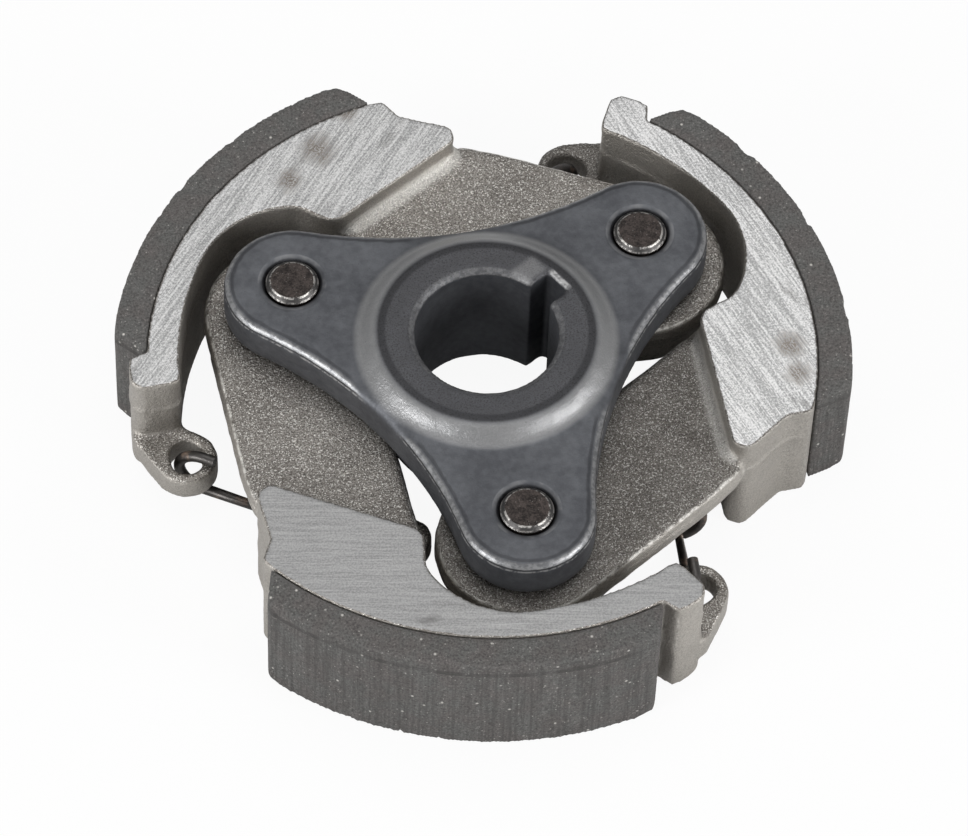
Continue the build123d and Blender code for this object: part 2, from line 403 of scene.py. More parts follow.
@dataclass(frozen=True)
class PinSteel(Finish):
    """Brown-black pin steel with pale flecks, and broken painted highlights along the edges of its end."""

    dark: Colour = (0.02, 0.017, 0.016)
    brown: Colour = (0.088, 0.072, 0.066)
    grey: Colour = (0.085, 0.083, 0.082)
    # colour of the pale flecks and of the painted highlights
    bright: Colour = (0.62, 0.6, 0.57)
    end_radius: float = 2.34
    outer_radius: float = 2.72
    metallic: float = 0.8
    roughness: float = 0.46
    edge_radius: float = 0.12
    relief_depth: float = 0.05

    def lay(self, graph: Graph) -> tuple[Value, Value, Value]:
        """Lays out the finish's nodes."""
        here = graph.place()
        facing = graph.facing()
        from_pin = graph.from_pins(here)
        grain = graph.noise(here, 4.5, 4.0, 0.7)
        slope = facing.window(0.35, 0.55, 0.85, 0.97)
        patchy = graph.noise(here, 1.3, 4.0, 0.7).fade(0.44, 0.56)
        blotch = graph.noise(here, 1.1, 4.0, 0.7)
        skin = graph.tint(blotch.fade(0.38, 0.6) * 0.5 + grain.fade(0.4, 0.62) * 0.5, self.dark, self.brown)
        flecks = graph.specks(here, 2.3, 0.14)
        skin = graph.tint(flecks * 0.5, skin, self.bright)
        skin = graph.tint(slope * 0.8, skin, self.grey)
        # painted highlights: broken bright lines along both edges of the chamfer round the pin's end
        line = from_pin.band(self.end_radius, 0.13) + from_pin.band(self.outer_radius, 0.1) * 0.6
        skin = graph.tint(line * facing.fade(0.3, 0.5) * patchy * 0.8, skin, self.bright)
        rough = self.roughness + 0.16 * (grain - 0.5) - 0.1 * slope
        normal = graph.bump(grain, self.relief_depth, graph.soft_edges(self.edge_radius))
        return skin, rough, normal


@dataclass(frozen=True)
class Stain:
    """One brown stain on a ground face."""

    place: Spot
    size: float


@dataclass(frozen=True)
class ShoeWearAndShade:
    """What sets one casting apart: the painted shade and grit of its ground faces, the painted shade of its
    cast faces, and its stains.
    """

    ground_painted_shade: float
    grit: float
    tone: float
    stains: tuple[Stain, ...] = ()


@dataclass(frozen=True)
class CastShoe(Finish):
    """Blasted aluminium casting whose top and bottom are belt-ground.

    Each stretch says how much finer a pattern gets along the belt's run, across it and upwards.
    """

    top: float
    bottom: float
    turn: float
    seed: float
    wear_and_shade: ShoeWearAndShade
    ground: Colour = (0.9, 0.895, 0.89)
    ground_dark: Colour = (0.39, 0.39, 0.39)
    stain: Colour = (0.17, 0.13, 0.095)
    scratch: Colour = (0.92, 0.92, 0.92)
    skin: Colour = (0.36, 0.338, 0.31)
    skin_dark: Colour = (0.075, 0.063, 0.056)
    painted_glint: Colour = (0.95, 0.93, 0.88)
    # lighter colour painted onto walls as if light fell on them
    wall: Colour = (0.6, 0.57, 0.525)
    ear_top: float = 3.6
    grind_direction: float = math.radians(49)
    scratch_slant: float = 0.06
    fine_stretch: Point = (0.12, 3.4, 1.0)
    long_stretch: Point = (0.04, 0.7, 1.0)
    deep_stretch: Point = (0.09, 5.5, 1.0)
    smudge_stretch: Point = (0.4, 1.2, 1.0)
    fray_stretch: Point = (0.45, 1.1, 1.0)
    fray: float = 3.2
    metallic: float = 0.88
    cast_roughness: float = 0.44
    ground_roughness: float = 0.52
    grain_depth: float = 0.2
    scratch_depth: float = 0.025

    def lay(self, graph: Graph) -> tuple[Value, Value, Value]:
        """Lays out the finish's nodes."""
        shift = (self.seed, self.seed * 0.7, 0.0)
        here = graph.place(shift=shift)
        height = graph.axis(graph.place(), "Z")
        facing = graph.facing()
        up = height.fade(self.top - 0.2, self.top - 0.05) * facing.fade(0.9, 0.98)
        down = height.fade(self.bottom + 0.2, self.bottom + 0.05) * facing.fade(-0.9, -0.98)
        flat = up + down
        belt = self.grind_direction + self.turn
        fine = graph.noise(graph.place(shift, belt, self.fine_stretch), 1.6, 5.0, 0.7)
        long = graph.noise(graph.place(shift, belt, self.long_stretch), 1.2, 3.0, 0.6)
        slanted = graph.place(shift, belt + self.scratch_slant, self.deep_stretch)
        deep = graph.noise(slanted, 1.0, 2.0, 0.5).fade(0.66, 0.74)
        grain = graph.noise(here, 4.6, 2.0, 0.7)
        sparkle = graph.noise(here, 6.5, 1.0, 0.5)
        pebble = graph.noise(here, 1.6, 2.0, 0.5)
        cloud = graph.noise(here, 0.14, 4.0, 0.6).fade(0.35, 0.7)
        smudge = graph.noise(graph.place(shift, belt, self.smudge_stretch), 0.2, 4.0, 0.7).fade(0.6, 0.72)
        edge = graph.edge()
        broken = graph.noise(here, 1.1, 3.0, 0.6).fade(0.38, 0.6)
        # Ground faces
        blend = fine.fade(0.38, 0.62) * 0.45 + long.fade(0.35, 0.65) * 0.1 + grain.fade(0.38, 0.62) * 0.45
        ground = graph.tint(0.5 + (blend - 0.5) * self.wear_and_shade.grit, self.ground_dark, self.ground)
        ground = graph.tint(deep * 0.7, ground, self.scratch)
        ground = graph.tint(smudge * (0.2 + 0.4 * grain), ground, self.skin_dark)
        frayed = graph.noise(graph.place(shift, belt, self.fray_stretch), 0.7, 4.0, 0.7)
        frayed = self.fray * (frayed - 0.5)
        for stain in self.wear_and_shade.stains:
            soiled = graph.away(graph.place(), stain.place) + frayed
            soiled = soiled.fade(1.4 * stain.size, 0.2 * stain.size)
            ground = graph.tint(soiled * (0.15 + 0.85 * grain.fade(0.42, 0.56)) * 0.85, ground, self.stain)
        # painted shade: this casting's ground faces darker by its own factor
        ground = graph.tint(self.wear_and_shade.ground_painted_shade, BLACK, ground)
        # Blasted skin with painted glints, walls painted lighter as if lit, and painted highlights on edges
        # and corners above the ear
        cast = graph.tint(cloud * 0.35, self.skin, self.skin_dark)
        level = facing.fade(0.3, 0.8)
        cast = graph.tint(grain.fade(0.54, 0.4) * (0.45 + 0.2 * level), cast, self.skin_dark)
        # painted glints, stronger on faces that look up
        cast = graph.tint(sparkle.fade(0.57, 0.66) * (0.25 + 0.5 * level), cast, self.painted_glint)
        # painted light: walls lighter than level faces
        cast = graph.tint((1 - level) * (0.25 + 0.4 * grain), cast, self.wall)
        above_ear = height.fade(self.ear_top, self.ear_top + 1.0)
        # painted highlights on outer edges and in inner corners
        cast = graph.tint(edge.fade(0.4, 0.8) * broken * above_ear * 0.8, cast, self.painted_glint)
        cast = graph.tint(edge.fade(-0.15, -0.8) * (0.2 + 0.5 * grain) * above_ear, cast, self.painted_glint)
        # painted shade: this casting's upward cast faces darker by its own factor
        cast = graph.tint(1 - (1 - self.wear_and_shade.tone) * level, BLACK, cast)
        # Both together
        colour = graph.tint(flat, cast, ground)
        dull = self.cast_roughness + 0.2 * (pebble - 0.5)
        smooth = self.ground_roughness + 0.2 * (fine - 0.5)
        rough = graph.node("ShaderNodeMix", {"data_type": "FLOAT"}, {0: flat, 2: dull, 3: smooth})
        blasted = graph.bump(grain * 0.55 + sparkle * 0.2 + pebble * 0.25, self.grain_depth)
        brushed = graph.bump(fine * 0.75 + deep * 0.25, self.scratch_depth)
        normal = graph.node("ShaderNodeMix", {"data_type": "VECTOR"}, {0: flat, 4: blasted, 5: brushed}, 1)
        return colour, rough, normal


@dataclass(frozen=True)
class FrictionLining(Finish):
    """Dark moulded friction composite with pale chips and upright worn marks on its outer face."""

    top: float
    seed: float
    matrix: Colour = (0.11, 0.109, 0.105)
    dark: Colour = (0.035, 0.033, 0.031)
    purple: Colour = (0.112, 0.096, 0.092)
    chip: Colour = (0.62, 0.6, 0.56)
    groove: float = 1.75
    rim: Span = (-1.9, -1.5, -1.4, -1.0)
    mark_stretch: Point = (2.4, 2.4, 0.07)
    metallic: float = 0.0
    roughness: float = 0.82
    relief_depth: float = 0.16

    def lay(self, graph: Graph) -> tuple[Value, Value, Value]:
        """Lays out the finish's nodes."""
        shift = (self.seed, -self.seed, 0.0)
        here = graph.place(shift=shift)
        height = graph.axis(graph.place(), "Z")
        wall = abs(graph.facing()).fade(0.6, 0.2)
        grain = graph.noise(here, 4.2, 3.0, 0.7)
        cloud = graph.noise(here, 0.35, 3.0, 0.6).fade(0.35, 0.65)
        upright = graph.noise(graph.place(shift=shift, scale=self.mark_stretch), 1.3, 4.0, 0.6)
        colour = graph.tint(cloud * 0.55, self.matrix, self.purple)
        colour = graph.tint(grain.fade(0.52, 0.36) * 0.7, colour, self.dark)
        colour = graph.tint(grain.fade(0.58, 0.74) * 0.3, colour, self.chip)
        colour = graph.tint(wall * upright.fade(0.35, 0.7) * 0.55, colour, self.dark)
        chips = graph.specks(here, 0.62, 0.14) + graph.specks(here, 1.25, 0.13) * 0.7
        colour = graph.tint(chips, colour, self.chip)
        rim = (height - self.top).window(*self.rim) * wall
        colour = graph.tint(rim * (0.25 + 0.45 * cloud), colour, self.dark)
        line = height.band(self.top - self.groove, 0.16) * wall * cloud
        colour = graph.tint(line * 0.8, colour, self.dark)
        rough = self.roughness + 0.12 * (grain - 0.5)
        relief = grain * 0.6 + chips * 0.15 + upright * 0.25
        normal = graph.bump(relief, self.relief_depth)
        return colour, rough, normal


@dataclass(frozen=True)
class SpringWire(Finish):
    """Oil-black drawn wire with copper-brown streaks."""

    black: Colour = (0.085, 0.08, 0.077)
    copper: Colour = (0.3, 0.225, 0.18)
    metallic: float = 0.9
    roughness: float = 0.3
    relief_depth: float = 0.02

    def lay(self, graph: Graph) -> tuple[Value, Value, Value]:
        """Lays out the finish's nodes."""
        here = graph.place()
        cloud = graph.noise(here, 0.5, 4.0, 0.6)
        grain = graph.noise(here, 5.0, 2.0, 0.6)
        colour = graph.tint(cloud.fade(0.5, 0.72), self.black, self.copper)
        rough = self.roughness + 0.2 * grain
        normal = graph.bump(grain, self.relief_depth)
        return colour, rough, normal


@dataclass(frozen=True)
class PlainSteel(Finish):
    """Zinc-grey washer steel."""

    light: Colour = (0.4, 0.4, 0.4)
    dull: Colour = (0.22, 0.22, 0.22)
    metallic: float = 0.9
    roughness: float = 0.35
    edge_radius: float = 0.08
    relief_depth: float = 0.02

    def lay(self, graph: Graph) -> tuple[Value, Value, Value]:
        """Lays out the finish's nodes."""
        here = graph.place()
        cloud = graph.noise(here, 0.8, 4.0, 0.6)
        colour = graph.tint(cloud.fade(0.35, 0.65), self.light, self.dull)
        rough = self.roughness + 0.2 * cloud
        normal = graph.bump(graph.noise(here, 4.0), self.relief_depth, graph.soft_edges(self.edge_radius))
        return colour, rough, normal


def wire_tree() -> bpy.types.NodeTree:
    """Builds the Geometry Nodes tree that draws round wire along a path."""
    tree = bpy.data.node_groups.new("wire_along_path", "GeometryNodeTree")
    for name, side, kind in (
        ("Path", "INPUT", "Geometry"),
        ("Wire Radius", "INPUT", "Float"),
        ("Wire Sides", "INPUT", "Int"),
        ("Wire Finish", "INPUT", "Material"),
        ("Wire", "OUTPUT", "Geometry"),
    ):
        tree.interface.new_socket(name=name, in_out=side, socket_type="NodeSocket" + kind)
    nodes = tree.nodes
    start = nodes.new("NodeGroupInput")
    end = nodes.new("NodeGroupOutput")
    path = nodes.new("GeometryNodeMeshToCurve")
    ring = nodes.new("GeometryNodeCurvePrimitiveCircle")
    drawn = nodes.new("GeometryNodeCurveToMesh")
    smooth = nodes.new("GeometryNodeSetShadeSmooth")
    real = nodes.new("GeometryNodeRealizeInstances")
    dressed = nodes.new("GeometryNodeSetMaterial")
    drawn.inputs["Fill Caps"].default_value = True
    for source, target in (
        (start.outputs["Path"], path.inputs["Mesh"]),
        (start.outputs["Wire Sides"], ring.inputs["Resolution"]),
        (start.outputs["Wire Radius"], ring.inputs["Radius"]),
        (path.outputs["Curve"], drawn.inputs["Curve"]),
        (ring.outputs["Curve"], drawn.inputs["Profile Curve"]),
        (drawn.outputs["Mesh"], smooth.inputs["Geometry"]),
        (smooth.outputs["Geometry"], real.inputs["Geometry"]),
        (real.outputs["Geometry"], dressed.inputs["Geometry"]),
        (start.outputs["Wire Finish"], dressed.inputs["Material"]),
        (dressed.outputs["Geometry"], end.inputs["Wire"]),
    ):
        tree.links.new(source, target)
    return tree


def along(
    name: str, points: list[Vector], tree: bpy.types.NodeTree, given: dict[str, Any]
) -> bpy.types.Object:
    """Runs a Geometry Nodes tree along a path and keeps the result as a plain mesh.

    Args:
        name: the new piece's name.
        points: the path, in metres.
        tree: the tree, whose first input is the path.
        given: values for the tree's other inputs, by their names.

    Returns:
        The finished object, with no modifier left on it.
    """
    mesh = bpy.data.meshes.new(name + "_path")
    steps = [(step, step + 1) for step in range(len(points) - 1)]
    mesh.from_pydata([tuple(point) for point in points], steps, [])
    piece = add_object(name, mesh)
    modifier = piece.modifiers.new("draw", "NODES")
    modifier.node_group = tree
    for item in tree.interface.items_tree:
        if item.in_out == "INPUT" and item.name in given:
            modifier[item.identifier] = given[item.name]
    graph = bpy.context.evaluated_depsgraph_get()
    final = bpy.data.meshes.new_from_object(piece.evaluated_get(graph))
    piece.modifiers.remove(modifier)
    piece.data = final
    final.name = name
    bpy.data.meshes.remove(mesh)
    return piece


class Form:
    """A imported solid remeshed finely, in millimetres, in the frame of the first shoe."""

    def __init__(self, source: bpy.types.Object, voxel: float, turns: int) -> None:
        """Merges a copy of the solid's triangles and remeshes it.

        Args:
            source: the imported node.
            voxel: the distance between the new points, in millimetres.
            turns: how many shoe steps the node lies away from the first one.
        """
        self.turn = turns * TURN
        loose = bmesh.new()
        loose.from_mesh(source.data)
        bmesh.ops.remove_doubles(loose, verts=loose.verts, dist=WELD)
        loose.transform(Matrix.Rotation(-self.turn, 4, "Z") @ Matrix.Scale(1 / MM, 4))
        merged = bpy.data.meshes.new("merged")
        loose.to_mesh(merged)
        loose.free()
        holder = add_object("merged", merged)
        modifier = holder.modifiers.new("remesh", "REMESH")
        modifier.mode = "VOXEL"
        modifier.voxel_size = voxel
        graph = bpy.context.evaluated_depsgraph_get()
        self.mesh = bpy.data.meshes.new_from_object(holder.evaluated_get(graph))
        bpy.data.objects.remove(holder)
        bpy.data.meshes.remove(merged)
        count = len(self.mesh.vertices)
        flat = np.empty(count * 3)
        self.mesh.vertices.foreach_get("co", flat)
        self.points = flat.reshape(count, 3)
        ends = np.empty(len(self.mesh.edges) * 2, dtype=np.int64)
        self.mesh.edges.foreach_get("vertices", ends)
        self.ends = ends.reshape(-1, 2)
        self.rounding = np.zeros(count)

    def soften(self, weight: np.ndarray, rounds: int) -> None:
        """Rounds edges and corners by pulling points towards their neighbours, and notes how far each sank.

        Args:
            weight: how far each point moves, from 0 to 1.
            rounds: how often; more rounds give a larger radius.
        """
        count = len(self.points)
        before = self.points.copy()
        first, second = self.ends[:, 0], self.ends[:, 1]
        friends = np.bincount(first, minlength=count) + np.bincount(second, minlength=count)
        for _ in range(rounds):
            for axis in range(3):
                line = self.points[:, axis]
                total = np.bincount(first, line[second], count) + np.bincount(second, line[first], count)
                line += weight * (total / friends - line)
        self.rounding += ((before - self.points) * self.normals()).sum(axis=1)

    def spread(self, mask: np.ndarray, rounds: int) -> np.ndarray:
        """Grows a mask of values from 0 to 1 over its points' neighbours, once in each round."""
        grown = mask.copy()
        for _ in range(rounds):
            np.maximum.at(grown, self.ends[:, 0], mask[self.ends[:, 1]])
            np.maximum.at(grown, self.ends[:, 1], mask[self.ends[:, 0]])
            mask = grown.copy()
        return grown

    def reach(self, axis: Spot = (0.0, 0.0)) -> np.ndarray:
        """The level distance of each point from an upright axis, which is the bore's if left out."""
        return np.linalg.norm(self.points[:, :2] - np.array(axis), axis=1)

    def normals(self) -> np.ndarray:
        """Writes the points' places into the mesh and gives the outward direction at each."""
        self.mesh.vertices.foreach_set("co", self.points.ravel())
        self.mesh.update()
        flat = np.empty(len(self.points) * 3)
        self.mesh.vertex_normals.foreach_get("vector", flat)
        return flat.reshape(-1, 3)

    def cloud(self, size: float, seed: float, octaves: int = 3) -> np.ndarray:
        """Fractal noise at each point, about 0 and mostly within 1, in lumps of that size in millimetres."""
        shift = Vector((seed, -seed, 2 * seed))
        places = (Vector(point) / size + shift for point in self.points)
        return np.array([noise.fractal(place, 1.0, 2.0, octaves) for place in places])

    def finish(self, name: str, material: bpy.types.Material) -> bpy.types.Object:
        """Puts the form back as a piece of that name and finish, with its place in its mesh."""
        self.mesh.vertices.foreach_set("co", self.points.ravel())
        mark = self.mesh.attributes.new(EDGE, "FLOAT", "POINT")
        mark.data.foreach_set("value", np.clip(self.rounding / FULL_ROUNDING, -1.0, 1.0).astype(np.float32))
        self.mesh.transform(Matrix.Scale(MM, 4) @ Matrix.Rotation(self.turn, 4, "Z"))
        self.mesh.shade_smooth()
        self.mesh.name = name
        self.mesh.materials.clear()
        self.mesh.materials.append(material)
        return add_object(name, self.mesh)


def fade(value: np.ndarray, low: float, high: float) -> np.ndarray:
    """Goes smoothly from 0 at low to 1 at high, or back where low is larger."""
    share = np.clip((value - low) / (high - low), 0.0, 1.0)
    return share * share * (3 - 2 * share)


@dataclass(frozen=True)
class PressedPlate:
    """The pressed form of the hub plate: a boss that runs softly into the plate, and worn rims."""

    plate_top: float
    voxel: float = 0.3
    boss_radius: float = 13.6
    crown_radius: float = 11.2
    seat_radius: float = 3.7
    boss_weight: float = 0.9
    rim_weight: float = 0.2
    edge_weight: float = 0.05
    foot_weight: float = 0.5
    foot_height: float = 1.2
    soften_rounds: int = 11
    waviness: float = 0.03
    wave_size: float = 1.5
    wave_seed: float = 3.0
    bore_radius: float = 7.5
    bore_chamfer: float = 0.6

    def shape(self, source: bpy.types.Object, material: bpy.types.Material) -> bpy.types.Object:
        """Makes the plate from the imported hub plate, in that finish."""
        form = Form(source, self.voxel, 0)
        height = form.points[:, 2].copy()
        radius = form.reach()
        from_pin = np.min([form.reach(axis) for axis in PIN_AXES], axis=0)
        clear = fade(from_pin, self.seat_radius - 0.2, self.seat_radius + 0.4)
        above = fade(height, self.plate_top - 1.0, self.plate_top - 0.2)
        boss = fade(radius, self.crown_radius - 0.8, self.crown_radius + 0.6) * above
        boss *= fade(radius, self.boss_radius + 2.0, self.boss_radius + 1.0) * self.boss_weight
        rim = self.rim_weight * fade(radius, self.boss_radius, self.boss_radius + 1.0) * clear
        foot = self.foot_weight * fade(height, self.foot_height, self.foot_height - 0.7)
        weight = np.maximum(np.maximum(boss, rim), np.maximum(foot, self.edge_weight))
        form.soften(weight, self.soften_rounds)
        out = form.normals()
        wave = self.waviness * form.cloud(self.wave_size, self.wave_seed) * clear
        wave *= fade(radius, self.bore_radius + 0.4, self.bore_radius + 1.1)
        form.points += out * wave[:, None] - out * self.waviness * 0.5
        # Chamfer of the bore: points that stand past its slope move out and down to it
        radius = form.reach()
        excess = self.bore_chamfer - (radius - self.bore_radius) - (height.max() - form.points[:, 2])
        excess = np.maximum(excess, 0.0) / 2 * (radius < self.bore_radius + self.bore_chamfer)
        form.points[:, :2] *= (1 + excess / radius)[:, None]
        form.points[:, 2] -= excess
        return form.finish("pressed_hub_plate", material)


@dataclass(frozen=True)
class Casting:
    """The cast form of one shoe: rounded web, fillets, parting ridge and wavy walls under ground faces."""

    top: float
    bottom: float
    web_top: float = 8.7
    web_bottom: float = 5.3
    web_reach: float = 1.3
    voxel: float = 0.28
    ear_top: float = 3.4
    ear_end: float = 3.0
    ear_weight: float = 0.5
    edge_weight: float = 0.12
    strength: float = 0.9
    soften_rounds: int = 11
    fillet_points: int = 5
    fillet_rounds: int = 26
    ridge: float = 0.16
    ridge_width: float = 0.3
    ridge_patch: float = 3.0
    ridge_seed: float = 5.0
    waviness: float = 0.05
    wave_size: float = 2.2
    wave_seed: float = 9.0
    seam_radius: float = 35.35
    seam_hold: float = 0.9
    flat_depth: float = 0.1

    def shape(self, source: bpy.types.Object, number: int, material: bpy.types.Material) -> bpy.types.Object:
        """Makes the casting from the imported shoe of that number, in that finish."""
        form = Form(source, self.voxel, number - 1)
        height = form.points[:, 2].copy()
        middle = (self.web_top + self.web_bottom) / 2
        half = (self.web_top - self.web_bottom) / 2
        web = fade(abs(height - middle), half + 2 * self.web_reach, half + self.web_reach)
        ear = fade(height, self.ear_top, self.ear_top - 0.5)
        ear *= self.ear_weight * fade(form.points[:, 1], self.ear_end + 1.5, self.ear_end)
        seam = abs(form.reach(ARC_CENTRE) - self.seam_radius)
        weight = np.maximum(np.maximum(web, ear), self.edge_weight)
        weight *= self.strength * (1 - self.seam_hold * fade(seam, 0.9, 0.5))
        form.soften(weight, self.soften_rounds)
        corner = form.spread(fade(-form.rounding, 0.08, 0.14), self.fillet_points)
        corner *= self.strength * fade(height, middle, self.web_top - 0.1)
        form.soften(corner, self.fillet_rounds)
        # Parting ridge and waves of the walls
        out = form.normals()
        upright = fade(abs(out[:, 2]), 0.75, 0.35)
        inside = fade(self.top - height, 0.2, 0.8) * fade(height - self.bottom, 0.2, 0.8)
        line = self.ridge * np.exp(-(((height - middle) / self.ridge_width) ** 2)) * upright
        line *= 0.4 + 0.6 * fade(form.cloud(self.ridge_patch, self.ridge_seed * number, 2), -0.3, 0.3)
        wave = self.waviness * form.cloud(self.wave_size, self.wave_seed * number)
        form.points += out * ((line + wave) * inside * fade(seam, 0.1, 0.5))[:, None]
        # Ground faces lie flat
        tops = (self.top - form.points[:, 2] < self.flat_depth) & (out[:, 2] > 0.9)
        form.points[tops, 2] = self.top
        soles = (form.points[:, 2] - self.bottom < self.flat_depth) & (out[:, 2] < -0.9)
        form.points[soles, 2] = self.bottom
        return form.finish(f"cast_shoe_{number}", material)


@dataclass(frozen=True)
class ChippedLining:
    """The worn form of one lining, with crumbled edges and a pitted outer face."""

    top: float
    bottom: float
    radius: float = 39.0
    thickness: float = 3.65
    width: float = 40.2
    direction: float = math.radians(134)
    voxel: float = 0.3
    corner_reach: float = 1.4
    corner_blend: float = 0.9
    corner_weight: float = 0.9
    corner_rounds: int = 6
    crumble: float = 0.2
    crumble_reach: float = 0.45
    pit_depth: float = 0.12
    waviness: float = 0.02
    coarse_size: float = 3.1
    coarse_seed: float = 13.0
    fine_size: float = 0.8
    fine_seed: float = 3.0

    def shape(self, source: bpy.types.Object, number: int, material: bpy.types.Material) -> bpy.types.Object:
        """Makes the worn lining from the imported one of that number, in that finish."""
        form = Form(source, self.voxel, number - 1)
        lengthwise = np.array((-math.sin(self.direction), math.cos(self.direction)))
        end = self.width / 2 - abs((form.points[:, :2] - np.array(ARC_CENTRE)) @ lengthwise)
        depth = self.radius - form.reach(ARC_CENTRE)
        full = self.corner_reach - self.corner_blend
        corner = fade(end, self.corner_reach, full) * fade(depth, self.corner_reach, full)
        form.soften(self.corner_weight * corner, self.corner_rounds)
        depth = self.radius - form.reach(ARC_CENTRE)
        level = np.minimum(self.top - form.points[:, 2], form.points[:, 2] - self.bottom)
        edge = np.exp(-np.hypot(level, depth) / self.crumble_reach)
        out = form.normals()
        coarse = form.cloud(self.coarse_size, self.coarse_seed * number, 5)
        fine = form.cloud(self.fine_size, self.fine_seed * number, 2)
        bite = self.crumble * edge * (0.2 + 1.5 * fade(coarse, 0.3, 0.8)) + 0.4 * self.crumble * edge * fine
        pits = self.pit_depth * fade(fine + 0.6 * coarse, 0.45, 0.85)
        free = fade(depth, self.thickness - 0.15, self.thickness - 0.5)
        form.points -= out * ((bite + pits + self.waviness * coarse) * free)[:, None]
        form.points[:, 2] = np.clip(form.points[:, 2], self.bottom, self.top)
        return form.finish(f"worn_lining_{number}", material)


@dataclass
class ReturnSpring:
    """One return spring: a hook through a shoe's ear, a close coil and a hook through the next shoe's lug."""

    number: int
    ear: Point = (-32.1, -1.4, 0.0)
    lug: Point = (-7.5, 16.9, 0.0)
    wire: float = 1.2
    coil_diameter: float = 6.0
    coil_turns: int = 8
    coil_start: float = 10.1
    coil_pitch: float = 1.22
    coil_height: float = -0.05
    hook_top: float = 3.3
    ear_setback: float = 2.0
    lug_setback: float = 2.2
    tip: float = 1.2
    steps_per_turn: int = 26
    wire_sides: int = 16

    @property
    def coil_radius(self) -> float:
        """The radius of the coil's middle line."""
        return (self.coil_diameter - self.wire) / 2

    def _frame(self) -> tuple[Vector, Vector, Vector, float]:
        """The ear's centre, the spring's direction, its sideways direction and its length."""
        turned = Matrix.Rotation(TURN, 3, "Z")
        start = Vector(self.ear)
        line = turned @ Vector(self.lug) - start
        ahead = line.normalized()
        return start, ahead, ahead.cross(Vector((0, 0, 1))), line.length

    def _hook(self, centre: float, outwards: float) -> list[Point]:
        """Bends one hook.

        Args:
            centre: how far along the spring the hook's centre lies.
            outwards: the way its bend reaches: -1 at the ear's end and 1 at the lug's end.

        Returns:
            Its points from the tip to the coil's underside, along, aside and up.
        """
        bottom = self.coil_height - self.coil_radius
        radius = (self.hook_top - bottom) / 2
        middle = self.hook_top - radius
        points = [(centre - outwards * self.tip, 0.0, self.hook_top)]
        steps = self.steps_per_turn // 2
        for step in range(steps + 1):
            angle = math.pi * step / steps
            reach = outwards * radius * math.sin(angle)
            points.append((centre + reach, 0.0, middle + radius * math.cos(angle)))
        return points

    def _coil(self) -> list[Point]:
        """The coil's points from the ear's side on, along, aside and up."""
        radius = self.coil_radius
        count = self.coil_turns * self.steps_per_turn
        points = []
        for step in range(count + 1):
            angle = 2 * math.pi * step / self.steps_per_turn
            along_axis = self.coil_start + self.coil_pitch * step / self.steps_per_turn
            points.append((along_axis, radius * math.sin(angle), self.coil_height - radius * math.cos(angle)))
        return points

    def path(self) -> list[Vector]:
        """The points of both hooks and the coil in the part's frame, in metres."""
        start, ahead, aside, length = self._frame()
        ear_hook = self._hook(self.ear_setback, -1.0)
        lug_hook = self._hook(length - self.lug_setback, 1.0)
        local = ear_hook + self._coil() + lug_hook[::-1]
        turned = Matrix.Rotation((self.number - 1) * TURN, 3, "Z")
        return [
            turned @ (start + ahead * forward + aside * across + Vector((0, 0, above))) * MM
            for forward, across, above in local
        ]

    def build(self, tree: bpy.types.NodeTree, finish: bpy.types.Material) -> list[bpy.types.Object]:
        """Makes the spring as two halves, one from each hook to the coil's middle, and hides the imported
        spring.
        """
        points = self.path()
        middle = len(points) // 2
        following = self.number % SHOE_COUNT + 1
        halves = (
            ("ear", points[: middle + 1], f"shoe_{self.number}", points[middle], points[0]),
            ("lug", points[middle:], f"shoe_{following}", points[middle], points[-1]),
        )
        made = []
        for end, stretch, body, still, moving in halves:
            piece = along(f"return_spring_{self.number}_{end}", stretch, tree, {
                "Wire Radius": self.wire / 2 * MM,
                "Wire Sides": self.wire_sides,
                "Wire Finish": finish,
            })
            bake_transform(piece)
            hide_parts(f"spring_{self.number}")
            made.append(piece)
        return made


